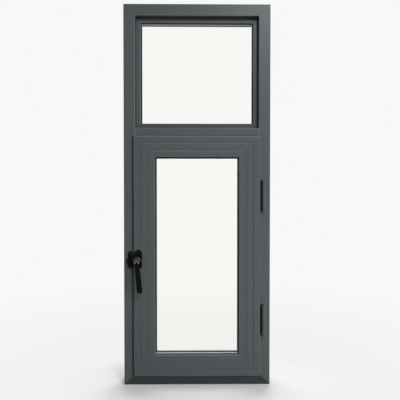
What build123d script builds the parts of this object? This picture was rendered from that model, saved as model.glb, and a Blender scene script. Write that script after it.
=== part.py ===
"""Aluminium casement window with a fixed top light, in millimetres.

The origin is the middle of the sill's seat. Z is up, X runs along the sill and the room side,
with the handle and the hinges, faces -Y. Sections are drawn as (reach, depth): reach is measured
from a bar's outer edge towards the glass and depth is the Y of the finished window.
"""

import os

from build123d import *

# Outer frame
FRAME_WIDTH = 600.0
FRAME_HEIGHT = 1560.0
FRAME_DEPTH = 70.0
FACE_WIDTH = 46.0
FLANGE_REACH = 69.5
FLANGE_THICKNESS = 4.0
WALL = 1.8
OUTER_WALL = 4.0
EDGE_RADIUS = 1.5
FLANGE_RADIUS = 1.0
FIXING_GROOVE = (8.0, 2.0)
FIXING_GROOVE_AT = 16.0
TRANSOM_BOTTOM = 1018.0
TRANSOM_FACE = 39.0
DRAIN_SLOT = (26.0, 5.0)
DRAIN_INSET = 120.0
DRAIN_HEIGHT = 14.0

# Double glazing, the same unit in both lights
PANE = 5.0
PANE_ARRIS = 0.6
CAVITY = 12.0
SPACER_HEIGHT = 7.0
SPACER_SHOW = 0.5
GLASS_COVER = 13.0
INNER_GASKET = 3.5
GASKET_LIP = 2.5
GASKET_RADIUS = 0.9
GASKET_BACK = 3.0
SETTING_BLOCK = 60.0

# Fixed light
FIXED_BEAD_WIDTH = 20.5
FIXED_BEAD_RECESS = 28.0
FIXED_BEAD_DEPTH = 10.0
FIXED_OUTER_GASKET = 2.5
BEAD_WALL = 1.6
BEAD_RADIUS = 2.0

# Sash, measured from the edge of its overlap lip
SASH_OVERLAP = 5.0
SASH_HEAD_OVERLAP = 6.8
SASH_FOOT_OVERLAP = 8.5
SASH_PROUD = 9.0
SASH_DEPTH = 67.0
LIP_REACH = 10.0
LIP_THICKNESS = 5.0
LIP_RADIUS = 1.8
SASH_BODY_REACH = 68.0
SASH_GROOVE_AT = 28.0
SASH_GROOVE_SIZE = 2.2
SASH_BEAD_WIDTH = 19.0
SASH_BEAD_DEPTH = 13.0
SASH_OUTER_GASKET = 3.5
SASH_OUTER_LIP = 5.0
SASH_FLANGE_SHOW = 3.5
SASH_FLANGE_EDGE = 9.0
BEAD_LEDGE = (10.6, 4.0)
BEAD_JOINT = 0.3
BEAD_JOINT_RADIUS = 1.2
OVERLAP_GASKET = 4.0
STOP_GASKET = (9.0, 2.0, 2.5)
STOP_GASKET_AT = 17.0

# Hinges, set off from the edge of the sash
HINGE_SET_OFF = 14.5
HINGE_FROM_SASH_TOP = 246.8
HINGE_FROM_SASH_FOOT = 230.5
HINGE_LENGTH = 125.0
HINGE_RADIUS = 7.3
HINGE_KNUCKLE = 38.0
HINGE_PLAY = 0.5
HINGE_LEAF = 2.6
HINGE_LEAF_GAP = 0.8
HINGE_LEAF_EDGE = 7.0
HINGE_LEAF_DROP = 30.0
HINGE_FOOT = (15.5, 3.0)
HINGE_CLEARANCE = 0.6
PIN_RADIUS = 3.5
PIN_CAP = (3.0, 1.3)

# Handle and keeper, placed from the edge of the sash and the sash face
PIVOT_FROM_EDGE = 16.3
PIVOT_HEIGHT = 514.0
BASE_SIZE = (33.5, 70.5, 10.0)
BASE_CORNER = 11.0
BASE_CHAMFER = 2.2
BASE_OFFSET = (1.5, 4.8)
BUTTON_RADIUS = 12.0
BUTTON_RIM = 1.5
BUTTON_HEIGHT = 6.5
BUTTON_CHAMFER = 4.0
BUTTON_OFFSET = (2.5, 31.6)
HUB_RADIUS = 15.5
HUB_DEPTH = 13.0
LEVER_LENGTH = 126.5
LEVER_WIDTH = 23.0
LEVER_NECK = 19.5
LEVER_COLLAR = 4.0
LEVER_THICKNESS = 10.0
LEVER_ROUND = 4.0
LEVER_BACK_CHAMFER = 2.5
LEVER_TIP = 10.5
LEVER_BEND = 14.0
LEVER_STAND_OFF = 43.0
LEVER_LEAN = 5.8
SPINDLE_RADIUS = 4.5
TONGUE_THICKNESS = 4.6
TONGUE_WIDTH = 10.0
TONGUE_EYE_RADIUS = 9.0
TONGUE_GRIP = 9.0
SLOT_PLAY = 0.4
KEEPER_SIZE = (18.0, 71.5, 3.0)
KEEPER_CORNER = 8.0
KEEPER_CHAMFER = 1.0
KEEPER_INSET = 25.6
KEEPER_LIFT = 1.9
KEEPER_BLOCK = (19.5, 20.5, 18.0)
KEEPER_BLOCK_RADIUS = 2.0
KEEPER_SLOT_DEPTH = 14.0

# Values that follow from the ones above
ROOM_FACE = -FRAME_DEPTH / 2
OUTSIDE_FACE = FRAME_DEPTH / 2
FLANGE_FACE = OUTSIDE_FACE - FLANGE_THICKNESS
TRANSOM_TOP = TRANSOM_BOTTOM + TRANSOM_FACE
UNIT = 2 * PANE + CAVITY
SASH_FRONT = ROOM_FACE - SASH_PROUD
SASH_BACK = SASH_FRONT + SASH_DEPTH
SASH_SIGHT = SASH_BODY_REACH + SASH_BEAD_WIDTH
SASH_FLANGE_REACH = SASH_SIGHT + SASH_FLANGE_SHOW
BEAD_LEDGE_AT = SASH_BODY_REACH - BEAD_LEDGE[0]
SASH_INSET = FACE_WIDTH - SASH_OVERLAP
SASH_WIDTH = FRAME_WIDTH - 2 * SASH_INSET
SASH_TOP = TRANSOM_BOTTOM + SASH_HEAD_OVERLAP
SASH_FOOT = FACE_WIDTH - SASH_FOOT_OVERLAP
SASH_HEIGHT = SASH_TOP - SASH_FOOT
SASH_CENTRE_Z = SASH_FOOT + SASH_HEIGHT / 2
FIXED_WIDTH = FRAME_WIDTH - 2 * FACE_WIDTH
FIXED_HEIGHT = FRAME_HEIGHT - FACE_WIDTH - TRANSOM_TOP
FIXED_CENTRE_Z = TRANSOM_TOP + FIXED_HEIGHT / 2
HINGE_AXIS_X = SASH_WIDTH / 2 + HINGE_SET_OFF
HINGE_HEIGHTS = {
    "upper": SASH_TOP - HINGE_FROM_SASH_TOP,
    "lower": SASH_FOOT + HINGE_FROM_SASH_FOOT,
}
PIVOT_X = -SASH_WIDTH / 2 + PIVOT_FROM_EDGE
KEEPER_X = -FRAME_WIDTH / 2 + KEEPER_INSET


def rect(reach_0, reach_1, depth_0, depth_1):
    """A rectangle given by its limits across the bar and through the window."""
    centre = Pos((reach_0 + reach_1) / 2, (depth_0 + depth_1) / 2)
    return centre * Rectangle(abs(reach_1 - reach_0), abs(depth_1 - depth_0))


def rounded(section, corners, radius):
    """Round the corners of a section that lie at the given (reach, depth) points."""
    chosen = []
    for reach, depth in corners:
        chosen += [v for v in section.vertices() if abs(v.X - reach) + abs(v.Y - depth) < 0.01]
    return fillet(chosen, radius)


def straight(section, length):
    """A square-cut length of a section, along X, with reach turned to +Z."""
    lying = Plane(origin=(0, 0, 0), x_dir=(0, 0, 1), z_dir=(-1, 0, 0))
    return extrude(lying * section, amount=length / 2, both=True)


def mitred(section, length):
    """A length of a section with both ends cut at 45 degrees, longest at the outer edge."""
    bar = straight(section, length)
    for side in (-1, 1):
        cut = Plane(origin=(side * length / 2, 0, 0), z_dir=(side, 0, 1))
        bar = split(bar, bisect_by=cut, keep=Keep.BOTTOM)
    return bar


def ring_bars(section, width, height, centre_z):
    """Four mitred bars round an opening: bottom, left, top, right."""
    sides = {
        "bottom": (Pos(0, 0, centre_z - height / 2), 0, width),
        "left": (Pos(-width / 2, 0, centre_z), 90, height),
        "top": (Pos(0, 0, centre_z + height / 2), 180, width),
        "right": (Pos(width / 2, 0, centre_z), -90, height),
    }
    return {
        name: place * Rot(0, turn, 0) * mitred(section, length)
        for name, (place, turn, length) in sides.items()
    }


def ring(section, width, height, centre_z):
    """A one-piece ring, such as a gasket with welded corners."""
    bars = list(ring_bars(section, width, height, centre_z).values())
    joined = bars[0]
    for bar in bars[1:]:
        joined = joined + bar
    return joined


def pane(width, height, centre_z, depth):
    """A sheet of glass with ground edges, its room side at the given depth."""
    sheet = Pos(0, depth + PANE / 2, centre_z) * Box(width, PANE, height)
    return chamfer(sheet.edges().filter_by(Axis.Y, reverse=True), PANE_ARRIS)


def frame_section():
    """Hollow frame bar: room face, glazing rebate and the flange on the outside."""
    section = rect(0, FACE_WIDTH, ROOM_FACE, OUTSIDE_FACE)
    section += rect(FACE_WIDTH - WALL, FLANGE_REACH, FLANGE_FACE, OUTSIDE_FACE)
    for place in (-FIXING_GROOVE_AT, FIXING_GROOVE_AT):
        half = FIXING_GROOVE[0] / 2
        section -= rect(0, FIXING_GROOVE[1], place - half, place + half)
    section = rounded(section, [(0, ROOM_FACE), (FACE_WIDTH, ROOM_FACE)], EDGE_RADIUS)
    tips = [(FLANGE_REACH, OUTSIDE_FACE), (FLANGE_REACH, FLANGE_FACE)]
    section = rounded(section, tips, FLANGE_RADIUS)
    section -= rect(OUTER_WALL, FACE_WIDTH - WALL, ROOM_FACE + WALL, -WALL / 2)
    section -= rect(OUTER_WALL, FACE_WIDTH - WALL, WALL / 2, OUTSIDE_FACE - WALL)
    return section


def transom_section():
    """The T-shaped bar between the lights, drawn about its own middle."""
    half = TRANSOM_FACE / 2
    wing = half + FLANGE_REACH - FACE_WIDTH
    section = rect(-half, half, ROOM_FACE, OUTSIDE_FACE)
    section += rect(-wing, wing, FLANGE_FACE, OUTSIDE_FACE)
    section = rounded(section, [(-half, ROOM_FACE), (half, ROOM_FACE)], EDGE_RADIUS)
    tips = [(side * wing, depth) for side in (-1, 1) for depth in (FLANGE_FACE, OUTSIDE_FACE)]
    section = rounded(section, tips, FLANGE_RADIUS)
    section -= rect(-half + WALL, half - WALL, ROOM_FACE + WALL, -WALL / 2)
    section -= rect(-half + WALL, half - WALL, WALL / 2, OUTSIDE_FACE - WALL)
    return section


def sash_section():
    """Hollow sash bar: overlap lip, body, ledge for the bead and a sloped outside flange."""
    front, back = SASH_FRONT, SASH_BACK
    seat = front + SASH_BEAD_DEPTH + INNER_GASKET + UNIT + SASH_OUTER_GASKET
    section = rect(0, SASH_BODY_REACH, front, front + LIP_THICKNESS)
    section += rect(LIP_REACH, SASH_BODY_REACH, front, back)
    flange = Polyline(
        (SASH_BODY_REACH, seat),
        (SASH_FLANGE_REACH, seat),
        (SASH_FLANGE_REACH, seat + SASH_FLANGE_EDGE),
        (SASH_BODY_REACH, back),
        close=True,
    )
    flange = make_face(flange)
    section += flange
    section -= rect(BEAD_LEDGE_AT, SASH_BODY_REACH, front, front + BEAD_LEDGE[1])
    section = rounded(section, [(0, front)], LIP_RADIUS)
    soft = [(0, front + LIP_THICKNESS), (BEAD_LEDGE_AT, front)]
    section = rounded(section, soft, BEAD_JOINT_RADIUS)
    section = rounded(section, [(SASH_FLANGE_REACH, seat + SASH_FLANGE_EDGE)], EDGE_RADIUS)
    diamond = Rot(0, 0, 45) * Rectangle(SASH_GROOVE_SIZE, SASH_GROOVE_SIZE)
    section -= Pos(SASH_GROOVE_AT, front) * diamond
    web = (front + back) / 2
    inner, ledge = LIP_REACH + WALL, BEAD_LEDGE_AT - WALL
    chamber = rect(inner, ledge, front + 2 * WALL, web - WALL / 2)
    chamber += rect(inner, SASH_BODY_REACH - WALL, front + BEAD_LEDGE[1] + WALL, web - WALL / 2)
    section -= chamber
    section -= rect(inner, SASH_BODY_REACH - WALL, web + WALL / 2, back - WALL)
    section -= offset(flange, amount=-WALL, kind=Kind.INTERSECTION)
    return section


def fixed_bead_section():
    """Hollow glazing bead, set back in the rebate of the fixed light."""
    front = ROOM_FACE + FIXED_BEAD_RECESS
    back = front + FIXED_BEAD_DEPTH
    section = rect(0, FIXED_BEAD_WIDTH, front, back)
    section = rounded(section, [(FIXED_BEAD_WIDTH, front)], BEAD_RADIUS)
    hollow = rect(BEAD_WALL, FIXED_BEAD_WIDTH - BEAD_WALL, front + BEAD_WALL, back - BEAD_WALL)
    return section - hollow


def sash_bead_section():
    """Hollow sash bead with a flange that covers the ledge of the sash bar."""
    front = SASH_FRONT
    back = front + SASH_BEAD_DEPTH
    edge = BEAD_LEDGE_AT + BEAD_JOINT
    section = rect(edge, SASH_SIGHT, front, front + BEAD_LEDGE[1])
    section += rect(SASH_BODY_REACH, SASH_SIGHT, front, back)
    section = rounded(section, [(edge, front)], BEAD_JOINT_RADIUS)
    section = rounded(section, [(SASH_SIGHT, front)], BEAD_RADIUS)
    reach_0, reach_1 = SASH_BODY_REACH + BEAD_WALL, SASH_SIGHT - BEAD_WALL
    return section - rect(reach_0, reach_1, front + 2 * BEAD_WALL, back - BEAD_WALL)


def gasket_section(reach_0, reach_1, depth_0, depth_1):
    """A glazing seal with a softly rounded lip towards the daylight."""
    section = rect(reach_0, reach_1, depth_0, depth_1)
    return rounded(section, [(reach_1, depth_0), (reach_1, depth_1)], GASKET_RADIUS)


def glazing(name, width, height, centre_z, sight, first, outer_gasket, outer_lip):
    """The seals, panes and spacer of one light, from the room side outwards."""
    cover = sight - GLASS_COVER
    glass = first + INNER_GASKET
    outer = glass + UNIT
    inner_seal = gasket_section(cover + GASKET_BACK, sight + GASKET_LIP, first, glass)
    outer_seal = gasket_section(cover + GASKET_BACK, sight + outer_lip, outer, outer + outer_gasket)
    cavity = glass + PANE
    inside = sight + SPACER_SHOW
    bar = rect(inside - SPACER_HEIGHT, inside, cavity, cavity + CAVITY)
    size = (width - 2 * cover, height - 2 * cover)
    pieces = {
        f"{name}_inner_gasket": ring(inner_seal, width, height, centre_z),
        f"{name}_outer_gasket": ring(outer_seal, width, height, centre_z),
        f"{name}_spacer": ring(bar, width, height, centre_z),
        f"{name}_inner_pane": pane(*size, centre_z, glass),
        f"{name}_outer_pane": pane(*size, centre_z, cavity + CAVITY),
    }
    return pieces, glass


def setting_blocks(name, span, floor_z, glass_z, glass_depth):
    """Two packers that carry the glass on the bottom of its rebate."""
    height = glass_z - floor_z
    block = Box(SETTING_BLOCK, UNIT, height)
    middle = Pos(0, glass_depth + UNIT / 2, floor_z + height / 2)
    return {
        f"{name}_setting_block_left": Pos(-span, 0, 0) * middle * block,
        f"{name}_setting_block_right": Pos(span, 0, 0) * middle * block,
    }


def outer_frame():
    """Head, sill, jambs and transom."""
    bars = ring_bars(frame_section(), FRAME_WIDTH, FRAME_HEIGHT, FRAME_HEIGHT / 2)
    sill = bars["bottom"]
    slot = Rot(90, 0, 0) * extrude(SlotOverall(*DRAIN_SLOT), amount=WALL * 2, both=True)
    for side in (-1, 1):
        sill -= Pos(side * (FRAME_WIDTH / 2 - DRAIN_INSET), OUTSIDE_FACE, DRAIN_HEIGHT) * slot
    transom = straight(transom_section(), FIXED_WIDTH)
    cope = FLANGE_REACH - FACE_WIDTH
    for side in (-1, 1):
        at = Pos(side * (FIXED_WIDTH / 2 - cope / 2), OUTSIDE_FACE - FLANGE_THICKNESS / 2, 0)
        transom -= at * Box(cope, FLANGE_THICKNESS, 2 * TRANSOM_FACE + 4 * cope)
    return {
        "frame_sill": sill,
        "frame_left_jamb": bars["left"],
        "frame_head": bars["top"],
        "frame_right_jamb": bars["right"],
        "transom": Pos(0, 0, TRANSOM_BOTTOM + TRANSOM_FACE / 2) * transom,
    }


def fixed_light():
    """Beads, seals and double glazing of the top light."""
    size = (FIXED_WIDTH, FIXED_HEIGHT, FIXED_CENTRE_Z)
    beads = ring_bars(fixed_bead_section(), *size)
    first = ROOM_FACE + FIXED_BEAD_RECESS + FIXED_BEAD_DEPTH
    lip = FLANGE_REACH - FACE_WIDTH - FIXED_BEAD_WIDTH
    pieces, glass = glazing("fixed", *size, FIXED_BEAD_WIDTH, first, FIXED_OUTER_GASKET, lip)
    pieces |= {f"fixed_bead_{side}": bead for side, bead in beads.items()}
    edge = TRANSOM_TOP + FIXED_BEAD_WIDTH - GLASS_COVER
    return pieces | setting_blocks("fixed", FIXED_WIDTH / 4, TRANSOM_TOP, edge, glass)


def sash():
    """The opening light: bars, beads, glazing and its two weather seals."""
    size = (SASH_WIDTH, SASH_HEIGHT, SASH_CENTRE_Z)
    bars = ring_bars(sash_section(), *size)
    beads = ring_bars(sash_bead_section(), *size)
    first = SASH_FRONT + SASH_BEAD_DEPTH
    pieces, glass = glazing("sash", *size, SASH_SIGHT, first, SASH_OUTER_GASKET, SASH_OUTER_LIP)
    pieces |= {
        "sash_bottom_rail": bars["bottom"],
        "sash_lock_stile": bars["left"],
        "sash_top_rail": bars["top"],
        "sash_hinge_stile": bars["right"],
    }
    pieces |= {f"sash_bead_{side}": bead for side, bead in beads.items()}
    floor_z = SASH_FOOT + SASH_BODY_REACH
    edge = SASH_FOOT + SASH_SIGHT - GLASS_COVER
    pieces |= setting_blocks("sash", SASH_WIDTH / 5, floor_z, edge, glass)
    inset = SASH_OVERLAP - OVERLAP_GASKET
    overlap = gasket_section(inset, SASH_OVERLAP, SASH_FRONT + LIP_THICKNESS, ROOM_FACE)
    seal = ring(overlap, *size)
    notch = Box(2 * SASH_OVERLAP + WALL, 2 * SASH_PROUD, HINGE_LENGTH + 2 * HINGE_PLAY)
    for height in HINGE_HEIGHTS.values():
        seal -= Pos(SASH_WIDTH / 2, ROOM_FACE, height) * notch
    between_hinges, round_sash = seal.solids().sort_by(SortBy.VOLUME)
    pieces["sash_overlap_gasket"] = round_sash
    pieces["sash_overlap_gasket_hinge_side"] = between_hinges
    width, wall, radius = STOP_GASKET
    stop = rect(STOP_GASKET_AT, STOP_GASKET_AT + width, SASH_BACK, FLANGE_FACE)
    stop = fillet(stop.vertices(), radius)
    inner = (STOP_GASKET_AT + wall, STOP_GASKET_AT + width - wall)
    stop -= rect(*inner, SASH_BACK + wall, FLANGE_FACE - wall)
    pieces["sash_stop_gasket"] = ring(stop, *size)
    return pieces


def hinge(name, height):
    """A three-knuckle hinge: fork on the frame, cranked leaf on the sash, capped pin."""
    middle = HINGE_LENGTH - 2 * (HINGE_KNUCKLE + HINGE_PLAY)
    gap = middle + 2 * HINGE_PLAY
    shift = (HINGE_LENGTH - HINGE_KNUCKLE) / 2
    axis = Pos(HINGE_AXIS_X, SASH_FRONT, 0)
    bore = axis * Cylinder(PIN_RADIUS, 2 * HINGE_LENGTH)

    foot_width, foot_depth = HINGE_FOOT
    foot_x = HINGE_AXIS_X - HINGE_LEAF_EDGE + HINGE_CLEARANCE + foot_width / 2
    frame_leaf = Pos(foot_x, ROOM_FACE - foot_depth / 2, 0) * Box(foot_width, foot_depth, HINGE_LENGTH)
    way = Pos(HINGE_AXIS_X - HINGE_LEAF_EDGE, ROOM_FACE - foot_depth / 2, 0)
    frame_leaf -= way * Box(2 * HINGE_LEAF_EDGE + 2 * HINGE_CLEARANCE, 2 * foot_depth, gap)
    frame_leaf -= axis * Cylinder(HINGE_RADIUS + HINGE_CLEARANCE, gap)
    for side in (-1, 1):
        frame_leaf += axis * Pos(0, 0, side * shift) * Cylinder(HINGE_RADIUS, HINGE_KNUCKLE)
    frame_leaf -= bore

    wall_x = SASH_WIDTH / 2 - LIP_REACH
    leaf_y = ROOM_FACE - HINGE_LEAF_GAP - HINGE_LEAF / 2
    edge_x = HINGE_AXIS_X - HINGE_LEAF_EDGE
    sash_leaf = Pos((wall_x + edge_x) / 2, leaf_y, 0) * Box(edge_x - wall_x, HINGE_LEAF, HINGE_LENGTH)
    leg_y = leaf_y - HINGE_LEAF / 2 + HINGE_LEAF_DROP / 2
    sash_leaf += Pos(wall_x + HINGE_LEAF / 2, leg_y, 0) * Box(HINGE_LEAF, HINGE_LEAF_DROP, HINGE_LENGTH)
    neck = Pos((edge_x + HINGE_AXIS_X) / 2, leaf_y, 0)
    sash_leaf += neck * Box(HINGE_LEAF_EDGE, HINGE_LEAF, middle)
    sash_leaf += axis * Cylinder(HINGE_RADIUS, middle)
    sash_leaf -= bore

    cap_height, cap_chamfer = PIN_CAP
    cap = Cylinder(HINGE_RADIUS, cap_height)
    cap = chamfer(cap.faces().sort_by(Axis.Z)[-1].edges(), cap_chamfer)
    at_end = Pos(0, 0, (HINGE_LENGTH + cap_height) / 2) * cap
    pin = Cylinder(PIN_RADIUS, HINGE_LENGTH) + at_end + Rot(180, 0, 0) * at_end
    lift = Pos(0, 0, height)
    return {
        f"{name}_hinge_frame_leaf": lift * frame_leaf,
        f"{name}_hinge_sash_leaf": lift * sash_leaf,
        f"{name}_hinge_pin": lift * axis * pin,
    }


def towards_room(sketch, amount):
    """Pull a sketch drawn as (X, Z) from the XZ plane towards the room."""
    return extrude(Plane.XZ * sketch, amount=amount)


def lever():
    """Grip, round in front and flat behind, turned through a quarter bend into a round hub."""
    base = BASE_SIZE[2]
    middle = LEVER_STAND_OFF - LEVER_THICKNESS / 2
    bend_start = middle - LEVER_BEND
    top = -LEVER_BEND
    tip = -LEVER_LENGTH
    collar = top - LEVER_COLLAR
    left_side = ((-LEVER_WIDTH / 2, tip), (-LEVER_NECK / 2, collar), (-LEVER_NECK / 2, top))
    right_side = ((LEVER_NECK / 2, top), (LEVER_NECK / 2, collar), (LEVER_WIDTH / 2, tip))
    outline = make_face(Polyline(*left_side, *right_side, close=True))
    outline = fillet(outline.vertices().sort_by(Axis.Y)[:2], LEVER_TIP)
    grip = Pos(0, -bend_start - LEVER_BEND + LEVER_THICKNESS / 2, 0) * towards_room(outline, LEVER_THICKNESS)
    below_bend = lambda edge: edge.center().Z < top - EDGE_RADIUS
    grip = fillet(grip.faces().sort_by(Axis.Y)[0].edges().filter_by(below_bend), LEVER_ROUND)
    grip = chamfer(grip.faces().sort_by(Axis.Y)[-1].edges().filter_by(below_bend), LEVER_BACK_CHAMFER)

    bend_axis = Axis((0, -bend_start, top), (-1, 0, 0))
    bend = revolve(grip.faces().sort_by(Axis.Z)[-1], bend_axis, 90)
    stem = extrude(bend.faces().sort_by(Axis.Y)[-1], amount=bend_start - base, dir=(0, 1, 0))
    hub = towards_room(Circle(HUB_RADIUS), base + HUB_DEPTH)
    hub = chamfer(hub.faces().sort_by(Axis.Y)[0].edges(), BASE_CHAMFER)
    hub -= towards_room(Circle(2 * HUB_RADIUS), base)
    return stem + bend + grip + hub + towards_room(Circle(SPINDLE_RADIUS), base + HUB_DEPTH / 2)


def handle():
    """Base plate, lever on its spindle, latch tongue and lock button."""
    width, height, thick = BASE_SIZE
    pivot = Pos(PIVOT_X, SASH_FRONT, PIVOT_HEIGHT)
    plate = towards_room(Pos(*BASE_OFFSET) * RectangleRounded(width, height, BASE_CORNER), thick)
    seat = towards_room(Pos(*BUTTON_OFFSET) * Circle(BUTTON_RADIUS + BUTTON_RIM), thick)
    plate = chamfer(plate.faces().sort_by(Axis.Y)[0].edges(), BASE_CHAMFER)
    seat = chamfer(seat.faces().sort_by(Axis.Y)[0].edges(), BASE_CHAMFER)
    base = plate + seat
    right = TONGUE_EYE_RADIUS + SLOT_PLAY
    slot = Pos((right - width) / 2, 0) * Rectangle(right + width, 2 * right)
    base -= towards_room(slot, TONGUE_THICKNESS + SLOT_PLAY)
    base -= towards_room(Circle(SPINDLE_RADIUS), thick)

    reach = KEEPER_X + KEEPER_BLOCK[0] / 2 - TONGUE_GRIP - PIVOT_X
    eye = Circle(TONGUE_EYE_RADIUS) + Pos(reach / 2, 0) * Rectangle(-reach, TONGUE_WIDTH)
    tongue = towards_room(eye - Circle(SPINDLE_RADIUS), TONGUE_THICKNESS)

    button = towards_room(Circle(BUTTON_RADIUS), BUTTON_HEIGHT)
    button = chamfer(button.faces().sort_by(Axis.Y)[0].edges(), BUTTON_CHAMFER)
    return {
        "handle_base": pivot * base,
        "handle_latch_tongue": pivot * tongue,
        "handle_lock_button": pivot * Pos(BUTTON_OFFSET[0], -thick, BUTTON_OFFSET[1]) * button,
        "handle_lever": pivot * Rot(0, -LEVER_LEAN, 0) * lever(),
    }


def keeper():
    """Strike plate on the frame with a slotted block that takes the tongue."""
    width, height, thick = KEEPER_SIZE
    plate = towards_room(RectangleRounded(width, height, KEEPER_CORNER), thick)
    plate = chamfer(plate.faces().sort_by(Axis.Y)[0].edges(), KEEPER_CHAMFER)
    long, tall, proud = KEEPER_BLOCK
    block = towards_room(Rectangle(long, tall), proud)
    block = fillet(block.faces().sort_by(Axis.Y)[0].edges().filter_by(Axis.X), KEEPER_BLOCK_RADIUS)
    body = Pos(KEEPER_X, ROOM_FACE, PIVOT_HEIGHT + KEEPER_LIFT) * plate
    body += Pos(KEEPER_X, ROOM_FACE, PIVOT_HEIGHT) * block
    mouth = Box(2 * KEEPER_SLOT_DEPTH, TONGUE_THICKNESS + SLOT_PLAY, TONGUE_WIDTH + 2 * SLOT_PLAY)
    return body - Pos(KEEPER_X + long / 2, SASH_FRONT - TONGUE_THICKNESS / 2, PIVOT_HEIGHT) * mouth


pieces = outer_frame() | fixed_light() | sash() | handle() | {"keeper": keeper()}
for hinge_name, hinge_height in HINGE_HEIGHTS.items():
    pieces |= hinge(hinge_name, hinge_height)

os.makedirs("parts", exist_ok=True)
for node, solid in pieces.items():
    export_step(solid, f"parts/{node}.step")
    box = solid.bounding_box()
    print(f"{node}: {solid.volume / 1000:.1f} cm3, {box.size.X:.1f} x {box.size.Y:.1f} x {box.size.Z:.1f}")
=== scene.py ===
# %% [markdown]
# # A grey casement window with a fixed light above it
#
# The window is a slim aluminium one, 600 mm wide and 1560 mm tall: an outer frame with a
# transom, a fixed pane of double glazing at the top, and an opening sash below with a black
# lever handle and two barrel hinges. Its solids are loaded first and stay where they are, so
# everything that this lesson adds is placed from their boxes, in metres.

# %% Load the frame
import math
from typing import NamedTuple

import bpy
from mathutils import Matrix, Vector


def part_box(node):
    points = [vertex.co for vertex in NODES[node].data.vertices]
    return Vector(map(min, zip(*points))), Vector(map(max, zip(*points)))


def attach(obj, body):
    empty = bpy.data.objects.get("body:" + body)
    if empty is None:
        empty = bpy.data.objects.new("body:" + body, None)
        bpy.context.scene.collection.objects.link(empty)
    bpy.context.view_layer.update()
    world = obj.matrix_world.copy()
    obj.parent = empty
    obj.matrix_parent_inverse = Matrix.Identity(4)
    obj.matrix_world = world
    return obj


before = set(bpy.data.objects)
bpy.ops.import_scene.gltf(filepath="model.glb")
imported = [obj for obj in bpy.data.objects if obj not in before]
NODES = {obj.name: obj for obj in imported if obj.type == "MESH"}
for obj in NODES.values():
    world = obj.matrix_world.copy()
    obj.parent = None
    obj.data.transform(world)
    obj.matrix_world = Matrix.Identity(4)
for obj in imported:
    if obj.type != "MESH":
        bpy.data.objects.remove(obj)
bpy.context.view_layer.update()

# %% [markdown]
# ## Colours
#
# Colours are easiest to think of in the 0 to 255 steps that a screen shows. A shader wants
# light that adds up, which is linear, so one small function turns the first into the second.

# %% Screen steps to linear colour
def screen(red, green, blue):
    """The linear colour of a colour given in screen steps."""
    linear = []
    for step in (red, green, blue):
        share = step / 255
        linear.append(share / 12.92 if share < 0.04045 else ((share + 0.055) / 1.055) ** 2.4)
    return (*linear, 1.0)


def toned(colour, factor):
    """A colour made lighter or darker by one factor."""
    return (*(factor * value for value in colour[:3]), 1.0)


FRAME_GREY = screen(84, 88, 90)
print("frame grey", [round(value, 3) for value in FRAME_GREY[:3]])

# %% [markdown]
# ## Writing shaders as sums
#
# A node tree is easier to read as arithmetic. The class below holds one output socket, and an
# expression such as `1 - mask` adds the Math node that it stands for. Everything that isn't
# arithmetic comes from one method, `node`, which is given the kind of node, its settings and
# what goes into its sockets. The same class serves shaders and Geometry Nodes.

# %% A socket that can be used in an expression
class Wire:
    """One output socket of a node tree."""

    def __init__(self, socket):
        self.socket = socket

    def node(self, kind, settings=None, sockets=None, out=0):
        """Add a node to this wire's tree, settings first, and return one of its outputs."""
        tree = self.socket.id_data
        node = tree.nodes.new(kind)
        for name, value in (settings or {}).items():
            setattr(node, name, value)
        for name, value in (sockets or {}).items():
            if isinstance(value, Wire):
                tree.links.new(value.socket, node.inputs[name])
            else:
                node.inputs[name].default_value = value
        return Wire(node.outputs[out])

    def maths(self, operation, *values):
        """Add a Math node that works on those values."""
        return self.node("ShaderNodeMath", {"operation": operation}, dict(enumerate(values)))

    def __add__(self, other):
        return self.maths("ADD", self, other)

    def __radd__(self, other):
        return self.maths("ADD", other, self)

    def __sub__(self, other):
        return self.maths("SUBTRACT", self, other)

    def __rsub__(self, other):
        return self.maths("SUBTRACT", other, self)

    def __mul__(self, other):
        return self.maths("MULTIPLY", self, other)

    def __rmul__(self, other):
        return self.maths("MULTIPLY", other, self)

    def __truediv__(self, other):
        return self.maths("DIVIDE", self, other)

    def __lt__(self, other):
        return self.maths("LESS_THAN", self, other)

    def __gt__(self, other):
        return self.maths("GREATER_THAN", self, other)

    def __abs__(self):
        return self.maths("ABSOLUTE", self)

    def clamped(self):
        """The value, held between 0 and 1."""
        return self.maths("MINIMUM", self.maths("MAXIMUM", self, 0.0), 1.0)


def mixed(share, first, second):
    """The colour between two colours, by a wire that runs from 0 to 1."""
    settings = {"data_type": "RGBA", "clamp_factor": True}
    return share.node("ShaderNodeMix", settings, {0: share, 6: first, 7: second}, out=2)


print("wires carry", ", ".join(name for name in vars(Wire) if not name.startswith("__")))

# %% [markdown]
# ## A finish and the points it is read at
#
# Every finish of the window is a Principled shader. What is the same all over a piece is set on
# the shader's own sockets, and what changes over the surface is fed from Object coordinates, which
# are the real metres of the window. A pattern then has its true scale and runs on from one
# piece to the next.

# %% Start a finish
def new_finish(name, constants):
    """A material with its even values set; returns it, its shader and its points."""
    material = bpy.data.materials.new(name)
    material.use_nodes = True
    shader = material.node_tree.nodes["Principled BSDF"]
    for socket, value in constants.items():
        shader.inputs[socket].default_value = value
    points = material.node_tree.nodes.new("ShaderNodeTexCoord")
    return material, shader, Wire(points.outputs["Object"])


def feed(shader, **wires):
    """Link wires to the shader's sockets; an underscore in a name stands for a space."""
    for name, wire in wires.items():
        shader.id_data.links.new(wire.socket, shader.inputs[name.replace("_", " ")])


def noise(point, per_metre, detail):
    """Cloudy noise of about that many lumps to the metre, from 0 to 1."""
    sockets = {"Vector": point, "Scale": per_metre, "Detail": detail}
    return point.node("ShaderNodeTexNoise", {}, sockets, out="Fac")


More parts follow.
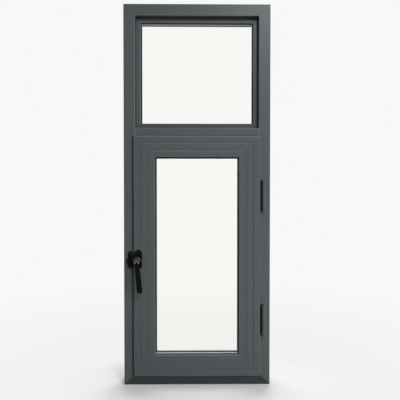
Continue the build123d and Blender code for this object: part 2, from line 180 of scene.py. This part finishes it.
def bumped(height, depth, strength):
    """A normal from a height that runs from 0 to 1 over that depth in metres."""
    sockets = {"Strength": strength, "Distance": depth, "Height": height}
    return height.node("ShaderNodeBump", {}, sockets, out="Normal")


def along(point, axis):
    """One coordinate of the points."""
    return point.node("ShaderNodeSeparateXYZ", {}, {0: point}, out=axis)


GRAIN_SIZE = 0.0011
GRAIN = 1 / GRAIN_SIZE
print("a grain of", 1000 * GRAIN_SIZE, "mm is", round(GRAIN), "lumps to the metre")

# %% [markdown]
# ## Powder coat on mitred bars
#
# The bars are extruded aluminium, sprayed with grey powder and baked. Close up the coat is a very
# fine orange peel with a soft sheen, and the bars meet in 45 degree mitres that show as hairlines.
# The peel is a bump from noise at about the size of the grains. The hairlines could be cut into
# the bars, but they are thinner than a pixel, so they are worked out: a point lies on a mitre where
# it is as far from the side of its ring of bars as from the top or bottom. Each ring therefore gets
# the finish with its own box.
#
# The smaller of those two distances says how far in from the ring's edge a point lies. It finds
# any line that runs round the ring, and a list of such lines is painted over the coat: painted
# highlights where an edge would catch the light, painted shade in joints and painted shadow
# beside a proud lip.

# %% Powder coat
FLAKE_TONES = (0.90, 1.10)
CLOUDS = 4.0
CLOUD_TONE = 1.04
COAT_ROUGH = 0.40
GRAIN_ROUGH = 0.12
CLOUD_ROUGH = 0.06
PAINT_SHEEN = 0.06
PEEL_DEPTH = 0.00012
PEEL_STRENGTH = 0.5
MITRE_HALF_WIDTH = 0.00025
MITRE_DARK = 0.45
LINE_HALF_WIDTH = 0.0011
LINE_DEPTH = 0.002


class Line(NamedTuple):
    """A line round a ring: metres in from its edge, the Y of its face, its tone and its top end."""

    inside: float
    front: float
    tone: float
    top: float | None = None


def flaked(grain, colour):
    """A coat's colour, which changes a little from grain to grain."""
    dark, light = FLAKE_TONES
    return mixed(grain, toned(colour, dark), toned(colour, light))


def powder_coat(name, colour, ring, lines=(), mitred=True):
    """Powder coat for a ring of bars with that box, with its lines and, as a rule, its mitres."""
    material, shader, point = new_finish(name, {"Specular IOR Level": PAINT_SHEEN})
    low, high = ring
    from_side = (high[0] - low[0]) / 2 - abs(along(point, "X") - (high[0] + low[0]) / 2)
    from_end = (high[2] - low[2]) / 2 - abs(along(point, "Z") - (high[2] + low[2]) / 2)
    inside = from_side.maths("MINIMUM", from_side, from_end)
    grain = noise(point, GRAIN, detail=3.0)
    cloud = noise(point, CLOUDS, detail=4.0)
    paint = mixed(cloud, flaked(grain, colour), toned(colour, CLOUD_TONE))
    # each line paints its tone over the coat: a tone above 1 is a painted highlight, below 1 painted
    # shade
    for line in lines:
        mask = abs(inside - line.inside) < LINE_HALF_WIDTH
        mask = mask * (along(point, "Y") < line.front + LINE_DEPTH)
        if line.top is not None:
            mask = mask * (along(point, "Z") < line.top)
        paint = mixed(mask, paint, toned(colour, line.tone))
    height = grain
    if mitred:
        mitre = abs(from_side - from_end) < MITRE_HALF_WIDTH
        paint = mixed(mitre * (1 - MITRE_DARK), paint, toned(colour, MITRE_DARK))
        height = grain - mitre
    feed(
        shader,
        Base_Color=paint,
        Roughness=COAT_ROUGH + GRAIN_ROUGH * grain + CLOUD_ROUGH * cloud,
        Normal=bumped(height, PEEL_DEPTH, PEEL_STRENGTH),
    )
    return material


print("painted lines are", 2000 * LINE_HALF_WIDTH, "mm wide")

# %% The rings of bars
def ring_box(*names):
    """Lowest and highest corner of several nodes together."""
    boxes = [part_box(name) for name in names]
    low = [min(box[0][axis] for box in boxes) for axis in range(3)]
    high = [max(box[1][axis] for box in boxes) for axis in range(3)]
    return low, high


OUTER_RING = ring_box("frame_head", "frame_sill", "frame_left_jamb", "frame_right_jamb")
SASH_RING = ring_box("sash_lock_stile", "sash_hinge_stile")
BEAD_RING = ring_box("fixed_bead_left", "fixed_bead_right")
for ring in (OUTER_RING, SASH_RING, BEAD_RING):
    print("ring from", [round(v, 4) for v in ring[0]], "to", [round(v, 4) for v in ring[1]])

# %% [markdown]
# ### Frame, transom and the fixed light's beads
#
# At an arris, a sharp front corner, a pale line is a painted highlight where a rounded edge would
# catch the light. At the joint of a bead and the frame it sits in, a dark line is partly the joint's
# own dark and partly painted shade. The boxes say how far in each of these lies. The jamb on the
# lock side has one more line, a painted shadow that the sash's lip throws beside it, and that line
# stops at the top of the sash. The transom is one bar between two jambs, so its coat has no mitres,
# and its ring is the front face alone, which ends at the beads.

# %% Coats of the frame, transom and fixed beads
# painted highlight: the pale tone of each arris line stands for light caught by a rounded edge
ARRIS_HIGHLIGHT = 2.5
# painted shade: the dark bead joints are partly the joint's own dark and partly shade in the corner
JOINT_SHADE = 0.1
JOINT_INSET = 0.0008
# painted shadow: the dark line on the lock jamb stands for the shadow that the sash's lip throws
LOCK_SHADOW_DARK = 0.1
LOCK_SHADOW_OFF = 0.0046

frame_front = OUTER_RING[0][1]
bead_front = BEAD_RING[0][1]
transom_low, transom_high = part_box("transom")
transom_face = (transom_low, (*transom_high[:2], BEAD_RING[0][2]))
lip_at = SASH_RING[0][0] - OUTER_RING[0][0]
frame_arris_highlight = Line(BEAD_RING[0][0] - OUTER_RING[0][0], frame_front, ARRIS_HIGHLIGHT)
lock_side_shadow = Line(lip_at - LOCK_SHADOW_OFF, frame_front, LOCK_SHADOW_DARK, top=SASH_RING[1][2])
transom_arris_highlight = Line(0.0, transom_low[1], ARRIS_HIGHLIGHT)
bead_arris_highlight = Line(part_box("fixed_bead_left")[1][0] - BEAD_RING[0][0], bead_front, ARRIS_HIGHLIGHT)
bead_joint_shade = Line(JOINT_INSET, bead_front, JOINT_SHADE)

frame_coat = powder_coat("frame_powder_coat", FRAME_GREY, OUTER_RING, [frame_arris_highlight])
lock_jamb_coat = powder_coat("lock_jamb_powder_coat", FRAME_GREY, OUTER_RING, [frame_arris_highlight, lock_side_shadow])
transom_coat = powder_coat("transom_powder_coat", FRAME_GREY, transom_face, [transom_arris_highlight], mitred=False)
bead_coat = powder_coat("bead_powder_coat", FRAME_GREY, BEAD_RING, [bead_joint_shade, bead_arris_highlight])
print("the sash's lip starts", round(1000 * lip_at, 1), "mm in from the frame's edge")

# %% [markdown]
# ### Sash
#
# From its edge inwards the sash has a lip, a groove, the joint of its beads and the arris by the
# glass. Round the stiles and the bottom rail the lip's edge and the arris get painted highlights.
# The top rail takes the light from above: the lower edges of its groove and joint get painted
# highlights there, and its lip a painted highlight under a line of painted shadow at its very edge.
# Small rounds on every edge would catch that light by themselves, but at the cost of many faces,
# so the top rail and its bead get a coat with more painted lines in the same ring.

# %% Coats of the sash
# painted highlights: the pale tones on the sash's lip, groove, joint and arris stand for light caught by
# edges
LIP_HIGHLIGHT = 1.6
LIP_INSET = 0.0005
TOP_LIP_HIGHLIGHT = 2.0
TOP_LIP_INSET = 0.0026
# painted shadow: the dark line at the very edge of the top lip
TOP_SHADOW_DARK = 0.45
GROOVE_AT = 0.028
EDGE_HIGHLIGHT = 1.6
EDGE_BELOW = 0.0034

sash_front = SASH_RING[0][1]
sash_bead_low, sash_bead_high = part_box("sash_bead_left")
sash_joint_at = sash_bead_low[0] - SASH_RING[0][0]
sash_arris_highlight = Line(sash_bead_high[0] - SASH_RING[0][0], sash_bead_low[1], ARRIS_HIGHLIGHT)
sash_lip_highlight = Line(LIP_INSET, sash_front, LIP_HIGHLIGHT)
top_lines = [
    Line(0.0, sash_front, TOP_SHADOW_DARK),
    Line(TOP_LIP_INSET, sash_front, TOP_LIP_HIGHLIGHT),
    Line(GROOVE_AT + EDGE_BELOW, sash_front, EDGE_HIGHLIGHT),
    Line(sash_joint_at + EDGE_BELOW, sash_bead_low[1], EDGE_HIGHLIGHT),
    sash_arris_highlight,
]
sash_coat = powder_coat("sash_powder_coat", FRAME_GREY, SASH_RING, [sash_lip_highlight, sash_arris_highlight])
sash_top_coat = powder_coat("sash_top_powder_coat", FRAME_GREY, SASH_RING, top_lines)
print("the sash's beads start", round(1000 * sash_joint_at, 1), "mm in from its edge")

# %% [markdown]
# ### Darker coats
#
# The sill is the same extrusion, but in the photograph its face is a good third darker than the
# jambs that it meets, with the change exactly at the mitres. It gets its own darker coat.
# The bottom bead of the fixed light is a little darker than its neighbours as well. Seen from
# below, the transom's edge hides that bead's joint, so its dark joint line, partly painted shade,
# is drawn higher up.

# %% Coats of the sill and the bottom bead
SILL_SHADE = 0.47
FOOT_SHADE = 0.80
FOOT_JOINT_INSET = 0.0026

# the bottom bead's joint line: partly the joint's own dark, partly painted shade
foot_joint_shade = Line(FOOT_JOINT_INSET, bead_front, JOINT_SHADE)
foot_grey = toned(FRAME_GREY, FOOT_SHADE)
sill_grey = toned(FRAME_GREY, SILL_SHADE)
sill_coat = powder_coat("sill_powder_coat", sill_grey, OUTER_RING)
foot_coat = powder_coat("bead_foot_powder_coat", foot_grey, BEAD_RING, [foot_joint_shade, bead_arris_highlight])
print("sill grey", [round(value, 3) for value in sill_grey[:3]])

# %% [markdown]
# ## Double glazing
#
# Float glass is clear with a trace of green from iron, which only shows at the edges. The panes
# are real 5 mm sheets, so a transmitting shader with the refraction of glass is all that they
# need. A thin veil of noise in the roughness keeps the sheet from looking like nothing at all.

# %% Glass
GLASS_VEIL = 0.004
VEIL_CLOUDS = 2.5


def float_glass():
    """Clear glass with a faint uneven veil."""
    even = {"Transmission Weight": 1.0, "IOR": 1.45, "Base Color": screen(254, 255, 254)}
    material, shader, point = new_finish("float_glass", even)
    feed(shader, Roughness=GLASS_VEIL * noise(point, VEIL_CLOUDS, detail=3.0))
    return material


glass = float_glass()
print("glass:", glass.name)

# %% [markdown]
# ## Rubber, spacer bar and packers
#
# The seals are extruded black rubber with a dull bloom. Between the panes runs a bright aluminium
# spacer bar, and two plastic packers carry the glass. Each is a small finish on the same plan: a
# tone that drifts, a roughness that drifts with it, and a bump from finer noise. One function
# makes them all. It can also leave a piece coarser above a height, which the lever needs later.

# %% A drifting finish
FINER = 9
DRIFT_BUMP = 0.6
COARSER = 0.8


def drifting(name, dark, light, per_metre, rough, depth, even=None, coarse_above=None):
    """A finish whose tone and roughness wander between two ends, with a bump of that depth."""
    material, shader, point = new_finish(name, even or {})
    drift = noise(point, per_metre, detail=4.0)
    fine = noise(point, FINER * per_metre, detail=2.0)
    roughness = rough[0] + (rough[1] - rough[0]) * drift
    if coarse_above is not None:
        roughness = roughness + COARSER * (along(point, "Z") > coarse_above)
    feed(
        shader,
        Base_Color=mixed(drift, dark, light),
        Roughness=roughness,
        Normal=bumped(fine, depth, DRIFT_BUMP),
    )
    return material


rubber = drifting(
    "seal_rubber", screen(6, 7, 7), screen(16, 17, 17),
    per_metre=120, rough=(0.55, 0.75), depth=0.00008, even={"Specular IOR Level": 0.03},
)
packer = drifting(
    "packer_plastic", screen(36, 40, 46), screen(46, 50, 56),
    per_metre=90, rough=(0.4, 0.55), depth=0.00005,
)
spacer = drifting(
    "spacer_aluminium", screen(226, 228, 229), screen(240, 241, 241),
    per_metre=60, rough=(0.35, 0.5), depth=0.00004, even={"Metallic": 0.2},
)
print("seals, packers and spacer:", rubber.name, packer.name, spacer.name)

# %% [markdown]
# ## Handle and keeper
#
# The handle, its base and the keeper are die castings in satin black, with a coat that is smoother
# than the frame's. The lever's bend is polished by hands and takes sharp glints, while the hub
# above it is duller, so the lever's finish turns coarse from the hub's foot upwards. The latch
# tongue is blackened steel. All of them are drifting finishes with their own values.

# %% Black castings and steel
HUB_HEIGHT = 0.017
BLACK_SHEEN = {"Specular IOR Level": 0.05}
SATIN = {
    "dark": screen(8, 9, 10), "light": screen(13, 14, 15),
    "per_metre": 160, "rough": (0.12, 0.20), "depth": 0.00005, "even": BLACK_SHEEN,
}

hub_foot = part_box("handle_lever")[1][2] - HUB_HEIGHT
satin_black = drifting("handle_satin_black", **SATIN)
lever_black = drifting("lever_satin_black", **SATIN, coarse_above=hub_foot)
button_black = drifting(
    "button_gloss_black", screen(8, 9, 10), screen(12, 13, 14),
    per_metre=120, rough=(0.14, 0.22), depth=0.00002, even=BLACK_SHEEN,
)
black_steel = drifting(
    "blackened_steel", screen(20, 21, 23), screen(38, 39, 41),
    per_metre=220, rough=(0.35, 0.55), depth=0.00004, even={"Metallic": 0.7},
)
print("the lever is coarse above", round(hub_foot, 4), "m")

# %% [markdown]
# ## Hinges
#
# A hinge barrel is sprayed grey like the frame, and so are the caps of its pin, but the leaf beside
# the sash is left black. Leaf and barrel are one solid, so they can't have two finishes by name.
# One finish covers both instead and changes its colour where the leaf ends, which is a known X.

# %% Hinge leaves and pins
LEAF_TONES = (screen(11, 12, 13), screen(19, 20, 21))
HINGE_ROUGH = 0.38
HINGE_GRAIN_ROUGH = 0.14
HINGE_PEEL_DEPTH = 0.0001


def hinge_coat(leaf_end):
    """Black paint on the leaf, up to that X, and the frame's grey on the barrel."""
    material, shader, point = new_finish("hinge_coat", {"Specular IOR Level": PAINT_SHEEN})
    grain = noise(point, GRAIN, detail=3.0)
    barrel = along(point, "X") > leaf_end
    feed(
        shader,
        Base_Color=mixed(barrel, mixed(grain, *LEAF_TONES), flaked(grain, FRAME_GREY)),
        Roughness=HINGE_ROUGH + HINGE_GRAIN_ROUGH * grain,
        Normal=bumped(grain, HINGE_PEEL_DEPTH, PEEL_STRENGTH),
    )
    return material


leaf_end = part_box("upper_hinge_frame_leaf")[0][0]
pin_coat = powder_coat("hinge_pin_coat", FRAME_GREY, OUTER_RING)
leaf_coat = hinge_coat(leaf_end)
print("the leaf ends at x", round(leaf_end, 4))

# %% [markdown]
# ## Handing out the finishes
#
# Each solid has a name that says what it is, so a short list of name beginnings is enough. The
# first beginning that fits wins, which lets the sill come before the rest of the frame. The panes
# throw no shadow and are left out of bounced light, because a render would need very many samples
# to send light through two sheets of glass without speckles.

# %% Finishes by name
FINISHES = (
    ("frame_sill", sill_coat),
    ("frame_left_jamb", lock_jamb_coat),
    ("frame_", frame_coat),
    ("transom", transom_coat),
    ("fixed_bead_bottom", foot_coat),
    ("fixed_bead", bead_coat),
    ("sash_top_rail", sash_top_coat),
    ("sash_bead_top", sash_top_coat),
    ("sash_bead", sash_coat),
    ("fixed_inner_pane", glass),
    ("fixed_outer_pane", glass),
    ("sash_inner_pane", glass),
    ("sash_outer_pane", glass),
    ("fixed_spacer", spacer),
    ("sash_spacer", spacer),
    ("fixed_setting", packer),
    ("sash_setting", packer),
    ("fixed_", rubber),
    ("sash_inner_gasket", rubber),
    ("sash_outer_gasket", rubber),
    ("sash_overlap", rubber),
    ("sash_stop", rubber),
    ("sash_", sash_coat),
    ("handle_lock_button", button_black),
    ("handle_latch_tongue", black_steel),
    ("handle_lever", lever_black),
    ("handle_", satin_black),
    ("keeper", satin_black),
    ("upper_hinge_pin", pin_coat),
    ("lower_hinge_pin", pin_coat),
    ("upper_hinge", leaf_coat),
    ("lower_hinge", leaf_coat),
)

for name, node in NODES.items():
    finish = next(finish for beginning, finish in FINISHES if name.startswith(beginning))
    node.data.materials.clear()
    node.data.materials.append(finish)
    if finish is glass:
        node.visible_shadow = False
        node.visible_diffuse = False
print("finished", len(NODES), "solids")

# %% [markdown]
# ## Growing what repeats
#
# Screws and the spacer bar's breathing slots repeat, so Geometry Nodes make them: a tree takes a
# few points or a path, copies one small shape on to it, realizes the copies and sets their
# material. The result is then kept as a plain mesh, so that nothing depends on the tree later.

# %% Start a tree and keep its result
def new_tree(name, sizes):
    """A Geometry Nodes tree; returns it and its inputs as wires by name."""
    tree = bpy.data.node_groups.new(name, "GeometryNodeTree")
    tree.interface.new_socket("Geometry", in_out="OUTPUT", socket_type="NodeSocketGeometry")
    tree.interface.new_socket("Geometry", in_out="INPUT", socket_type="NodeSocketGeometry")
    for size in sizes:
        tree.interface.new_socket(size, in_out="INPUT", socket_type="NodeSocketFloat")
    tree.interface.new_socket("Finish", in_out="INPUT", socket_type="NodeSocketMaterial")
    inputs = tree.nodes.new("NodeGroupInput")
    return tree, {socket.name: Wire(socket) for socket in inputs.outputs if socket.name}


def end_tree(tree, shape, finish):
    """Realize the copies, set their material and lead them out of the tree."""
    real = shape.node("GeometryNodeRealizeInstances", {}, {0: shape})
    done = real.node("GeometryNodeSetMaterial", {}, {"Geometry": real, "Material": finish})
    tree.links.new(done.socket, tree.nodes.new("NodeGroupOutput").inputs[0])


def seed_mesh(name, points, edges=()):
    """A mesh of bare points, or of a path, for a tree to start from."""
    mesh = bpy.data.meshes.new(name)
    mesh.from_pydata(points, edges, [])
    return mesh


def grow(name, seed, tree, values):
    """Run a tree on a seed mesh and keep the result as a piece of the window."""
    piece = bpy.data.objects.new(name, seed)
    bpy.context.collection.objects.link(piece)
    modifier = piece.modifiers.new(name, "NODES")
    modifier.node_group = tree
    for socket in tree.interface.items_tree:
        if socket.in_out == "INPUT" and socket.name in values:
            modifier[socket.identifier] = values[socket.name]
    evaluated = piece.evaluated_get(bpy.context.evaluated_depsgraph_get())
    plain = bpy.data.meshes.new_from_object(evaluated)
    piece.modifiers.remove(modifier)
    piece.data = plain
    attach(piece, "root")
    print(name, "has", len(plain.polygons), "faces")


print("trees end in realized copies with a material")

# %% [markdown]
# ### Screws
#
# Two screws hold the keeper to the frame. Of the handle's own screws one shows, at the foot of
# its base, and the lever and the lock button cover the rest. A head is a short cylinder with its
# top face drawn out and narrowed, and a cross cut into it. The copies are turned by a seeded
# random angle, because nobody lines up the crosses by hand.

# %% A cross-head screw
HEAD_SIDES = 24
CROWN_RISE = 0.5
CROWN_SHARE = 0.7
CROSS_SHARE = 0.22
CUT_HEIGHT = 2.0
CUT_LIFT = 1.2
TURN_SEED = 7


def screw_head(radius, height):
    """A short cylinder with its top face raised and narrowed to a crown."""
    sizes = {"Vertices": HEAD_SIDES, "Radius": radius, "Depth": height}
    rim = radius.node("GeometryNodeMeshCylinder", {}, sizes, out="Mesh")
    top = Wire(rim.socket.node.outputs["Top"])
    raised = {"Mesh": rim, "Selection": top, "Offset Scale": CROWN_RISE * height, "Individual": False}
    crown = rim.node("GeometryNodeExtrudeMesh", {}, raised, out="Mesh")
    crown_top = Wire(crown.socket.node.outputs["Top"])
    narrowed = {"Geometry": crown, "Selection": crown_top, "Scale": CROWN_SHARE}
    return crown.node("GeometryNodeScaleElements", {}, narrowed)


def cross_bars(cross, height):
    """Two crossed bars that stand over a head and reach into its crown."""
    bars = []
    for long_way, short_way in ((cross, CROSS_SHARE * cross), (CROSS_SHARE * cross, cross)):
        edges = {"X": long_way, "Y": short_way, "Z": CUT_HEIGHT * height}
        size = cross.node("ShaderNodeCombineXYZ", {}, edges)
        bar = cross.node("GeometryNodeMeshCube", {}, {"Size": size}, out="Mesh")
        lift = cross.node("ShaderNodeCombineXYZ", {}, {"Z": CUT_LIFT * height})
        bars.append(bar.node("GeometryNodeTransform", {}, {"Geometry": bar, "Translation": lift}))
    return bars


def screw_tree():
    """A tree that sets a cross-head screw on each point, facing the room."""
    tree, size = new_tree("cross_head_screws", ("Radius", "Height", "Cross"))
    head = screw_head(size["Radius"], size["Height"])
    for bar in cross_bars(size["Cross"], size["Height"]):
        cut = {"Mesh 1": head, "Mesh 2": bar}
        head = head.node("GeometryNodeMeshBoolean", {"operation": "DIFFERENCE"}, cut, out="Mesh")
    span = {"Max": math.pi, "Seed": TURN_SEED}
    turn = head.node("FunctionNodeRandomValue", {"data_type": "FLOAT"}, span, out=1)
    facing = turn.node("ShaderNodeCombineXYZ", {}, {"X": math.pi / 2, "Y": turn})
    sockets = {"Points": size["Geometry"], "Instance": head, "Rotation": facing}
    end_tree(tree, head.node("GeometryNodeInstanceOnPoints", {}, sockets), size["Finish"])
    return tree


screws = screw_tree()
print("a screw's tree has", len(screws.nodes), "nodes")

# %% Screws of the keeper and the handle's base
SCREW = {"Radius": 0.0036, "Height": 0.0008, "Cross": 0.0042, "Finish": black_steel}
KEEPER_PLATE = 0.003
BLOCK_PROUD = 0.018
KEEPER_SCREWS = (0.12, 0.86)
BASE_SCREWS = (0.13,)


def screws_down(node, shares, inset):
    """Points down the middle of a plate's front, at shares of its height."""
    low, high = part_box(node)
    middle, front = (low[0] + high[0]) / 2, low[1] + inset
    return [(middle, front, low[2] + share * (high[2] - low[2])) for share in shares]


keeper_places = screws_down("keeper", KEEPER_SCREWS, BLOCK_PROUD - KEEPER_PLATE)
base_places = screws_down("handle_base", BASE_SCREWS, 0.0)
grow("keeper_screws", seed_mesh("keeper_screw_places", keeper_places), screws, SCREW)
grow("handle_base_screws", seed_mesh("base_screw_places", base_places), screws, SCREW)

# %% [markdown]
# ### Breathing slots of the spacer bars
#
# A spacer bar is filled with drying beads that breathe through a row of tiny slots on the face
# that looks into the unit. The tree takes that face's middle line as a closed path, places a
# point every few millimetres and lays a flat dark lozenge at each, turned along the path.

# %% Slots along a path
SLOT_SIDES = 8


def slot_tree():
    """A tree that lays flat slots along a path at an even spacing."""
    tree, size = new_tree("spacer_slots", ("Spacing", "Length", "Width", "Depth"))
    path = size["Geometry"]
    curve = path.node("GeometryNodeMeshToCurve", {}, {"Mesh": path})
    spaced = {"Curve": curve, "Length": size["Spacing"]}
    row = curve.node("GeometryNodeResampleCurve", {"mode": "LENGTH"}, spaced)
    unit_disc = {"Vertices": SLOT_SIDES, "Radius": 0.5, "Depth": 1.0}
    disc = row.node("GeometryNodeMeshCylinder", {}, unit_disc, out="Mesh")
    edges = {"X": size["Length"], "Y": size["Width"], "Z": size["Depth"]}
    stretch = row.node("ShaderNodeCombineXYZ", {}, edges)
    slot = disc.node("GeometryNodeTransform", {}, {"Geometry": disc, "Scale": stretch})
    tangent = row.node("GeometryNodeInputTangent")
    axes = {"axis": "X", "pivot_axis": "Y"}
    turned = tangent.node("FunctionNodeAlignRotationToVector", axes, {"Vector": tangent})
    sockets = {"Points": row, "Instance": slot, "Rotation": turned}
    end_tree(tree, row.node("GeometryNodeInstanceOnPoints", {}, sockets), size["Finish"])
    return tree


slots = slot_tree()
print("a slot's tree has", len(slots.nodes), "nodes")

# %% Slots of both spacer bars
SPACER_HEIGHT = 0.007
SLOT = {"Spacing": 0.009, "Length": 0.0030, "Width": 0.0009, "Depth": 0.0002, "Finish": rubber}
LOOP = [(0, 1), (1, 2), (2, 3), (3, 0)]

for light in ("fixed", "sash"):
    low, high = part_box(f"{light}_spacer")
    left, right = low[0] + SPACER_HEIGHT, high[0] - SPACER_HEIGHT
    bottom, top = low[2] + SPACER_HEIGHT, high[2] - SPACER_HEIGHT
    middle = (low[1] + high[1]) / 2
    corners = [(left, middle, bottom), (right, middle, bottom), (right, middle, top), (left, middle, top)]
    path = seed_mesh(f"{light}_slot_path", corners, LOOP)
    grow(f"{light}_spacer_slots", path, slots, SLOT)

# %% [markdown]
# ## Floor
#
# The window stands on a plain pale floor that melts into a white background. Close to the window
# the floor is ordinary matt white, so that it keeps the shadow. Outside an oval round the window
# it fades to a plain glow, which grades into the background's own white and leaves no horizon.
# That is only for rays that are looked along. For the light that it throws back the floor is a
# mid grey: the photograph has dark undersides, and a wide white floor would fill them with light.

# %% Floor finish
BACKGROUND = screen(248, 248, 246)
FLOOR_NEAR = screen(242, 242, 240)
FLOOR_MATT = screen(250, 250, 248)
FLOOR_DRIFT = 0.985
FLOOR_CLOUDS = 6.0
FLOOR_BOUNCE = screen(150, 150, 149)
SHADOW_OVAL = (1.0, 2.0, 1.0)
SHADOW_FROM, SHADOW_TO = 0.33, 0.62
GLOW_FROM, GLOW_TO = 0.7, 2.0


def looked_along(wire):
    """1 for camera, mirror and see-through rays, 0 for the rest."""
    path = wire.node("ShaderNodeLightPath", out="Is Camera Ray")
    others = path.socket.node.outputs
    return (path + Wire(others["Is Glossy Ray"]) + Wire(others["Is Transmission Ray"])).clamped()


def length_of(vector):
    """The length of a vector."""
    return vector.node("ShaderNodeVectorMath", {"operation": "LENGTH"}, {0: vector}, out="Value")


def floor_finish():
    """Matt white near the window, a glow further off, and grey for the light it throws back."""
    material, shader, point = new_finish("floor_white", {"Roughness": 0.9, "Specular IOR Level": 0.1})
    drift = noise(point, FLOOR_CLOUDS, detail=4.0)
    feed(shader, Base_Color=mixed(drift, toned(FLOOR_MATT, FLOOR_DRIFT), FLOOR_MATT))
    oval = point.node("ShaderNodeVectorMath", {"operation": "MULTIPLY"}, {0: point, 1: SHADOW_OVAL})
    fade = ((length_of(oval) - SHADOW_FROM) / (SHADOW_TO - SHADOW_FROM)).clamped()
    far = ((length_of(point) - GLOW_FROM) / (GLOW_TO - GLOW_FROM)).clamped()
    white = mixed(far, FLOOR_NEAR, BACKGROUND)
    glow = point.node("ShaderNodeEmission", {}, {"Color": white}, out="Emission")
    matt = Wire(shader.outputs["BSDF"])
    seen = point.node("ShaderNodeMixShader", {}, {0: fade, 1: matt, 2: glow})
    bounce = point.node("ShaderNodeBsdfDiffuse", {}, {"Color": FLOOR_BOUNCE})
    surface = point.node("ShaderNodeMixShader", {}, {0: looked_along(point), 1: bounce, 2: seen})
    output = material.node_tree.nodes["Material Output"]
    material.node_tree.links.new(surface.socket, output.inputs["Surface"])
    return material


floor_white = floor_finish()
print("the floor glows from", SHADOW_TO, "m on")

# %% Floor
FLOOR_SIZE = 30.0
FLOOR_DROP = 0.0004

half = FLOOR_SIZE / 2
sheet = bpy.data.meshes.new("floor")
sheet.from_pydata(
    [(x, y, -FLOOR_DROP) for x, y in ((-half, -half), (half, -half), (half, half), (-half, half))],
    [], [(0, 1, 2, 3)],
)
sheet.materials.append(floor_white)
floor = bpy.data.objects.new("floor", sheet)
bpy.context.collection.objects.link(floor)
print("floor", FLOOR_SIZE, "m square")

# %% [markdown]
# ## World
#
# The world is white where it is looked at, and a softer even light where it only lights things.
# A single white world would flatten the window, so the two jobs are told apart by the kind of ray.

# %% World
AMBIENT = 0.32

world = bpy.data.worlds.new("studio")
bpy.context.scene.world = world
world.use_nodes = True
sky = world.node_tree.nodes["Background"]
sky.inputs["Color"].default_value = (1.0, 1.0, 1.0, 1.0)
sky.inputs["Strength"].default_value = AMBIENT
even_light = Wire(sky.outputs["Background"])
backdrop = even_light.node("ShaderNodeBackground", {}, {"Color": BACKGROUND, "Strength": 1.0})
shares = {0: looked_along(even_light), 1: even_light, 2: backdrop}
seen_world = even_light.node("ShaderNodeMixShader", {}, shares)
world.node_tree.links.new(seen_world.socket, world.node_tree.nodes["World Output"].inputs["Surface"])
print("even light of strength", AMBIENT)

# %% [markdown]
# ## Lamps
#
# A key lamp stands to the upper right in front, so shadows fall to the left and down inside each
# rebate. A fill lamp stands low and far to the right, and its narrow beam reaches the sash and the
# sill from the side, which keeps a shadow to the left of the sash's lip. A small lamp near the top
# right corner gives the frame its bright end there, and lamps above and behind light the floor and
# the outer side. Most lamps are kept out of mirrors, because the panes would show them as white
# squares.

# %% Soft lamps
def softbox(name, place, aim, size, power, spread=180, mirrored=False):
    """A square lamp that faces a point, out of sight and, as a rule, out of the glass's mirror."""
    lamp = bpy.data.lights.new(name, "AREA")
    lamp.size = size
    lamp.energy = power
    lamp.spread = math.radians(spread)
    holder = bpy.data.objects.new(name, lamp)
    holder.location = place
    way = [there - here for here, there in zip(place, aim)]
    level = math.hypot(way[0], way[1])
    holder.visible_camera = False
    holder.visible_transmission = False
    holder.visible_glossy = mirrored
    holder.rotation_euler = (math.pi / 2 + math.atan2(way[2], level), 0, math.atan2(-way[0], way[1]))
    bpy.context.collection.objects.link(holder)
    return holder


softbox("key_softbox", (0.9, -2.4, 2.3), aim=(0.0, 0.0, 0.8), size=0.6, power=38.0)
softbox("fill_softbox", (2.1, -1.7, 0.3), aim=(0.0, 0.0, 0.3), size=0.7, power=4.7, spread=60)
softbox(
    "corner_softbox", (0.50, -0.55, 1.85), aim=(0.28, 0.0, 1.50),
    size=0.3, power=1.15, spread=90, mirrored=True,
)
softbox("top_softbox", (-0.1, 0.9, 2.7), aim=(0.0, 0.0, 0.1), size=1.2, power=19.0)
softbox("outside_softbox", (0.9, 2.6, 1.5), aim=(0.0, 0.0, 0.7), size=1.4, power=40.0)

# %% [markdown]
# The bend of the lever is the one place that the photograph shows with sharp glints. A lamp bright
# enough for them would light everything else too, so two small ones that only make gloss are
# linked to the lever alone.

# %% Glints on the lever
GLINT_PLACES = {"left": (-0.95, -0.35, 1.3), "right": (0.50, -0.48, 1.5)}
GLINT_AIM = (-0.24, -0.08, 0.52)
GLINT_SIZE = 0.3
GLINT_POWER = 380.0

lever_alone = bpy.data.collections.new("lever_alone")
lever_alone.objects.link(NODES["handle_lever"])
for side, place in GLINT_PLACES.items():
    glint = softbox(f"{side}_glint_softbox", place, GLINT_AIM, GLINT_SIZE, GLINT_POWER, mirrored=True)
    glint.visible_diffuse = False
    glint.light_linking.receiver_collection = lever_alone
print("glints from", ", ".join(GLINT_PLACES))

# %% [markdown]
# ## Camera
#
# The photograph was taken from about chest height, a little left of the middle, almost level.
# The position and the focal length come from fitting the frame's four corners, the transom and
# the sash to where they stand in the picture.

# %% Camera
IMAGE_WIDTH = 400
FOCAL_PIXELS = 463.1
SENSOR_WIDTH = 36.0
CAMERA_PLACE = (-0.0072, -1.935, 0.7993)
CAMERA_DIP = 1.118
CAMERA_TURN = -0.582

lens = bpy.data.cameras.new("camera")
lens.sensor_width = SENSOR_WIDTH
lens.lens = FOCAL_PIXELS / IMAGE_WIDTH * SENSOR_WIDTH
camera = bpy.data.objects.new("camera", lens)
camera.location = CAMERA_PLACE
camera.rotation_euler = (math.radians(90 - CAMERA_DIP), 0.0, math.radians(CAMERA_TURN))
bpy.context.collection.objects.link(camera)
bpy.context.scene.camera = camera
bpy.context.scene.view_settings.view_transform = "Standard"
print("lens", round(lens.lens, 2), "mm")

# %% [markdown]
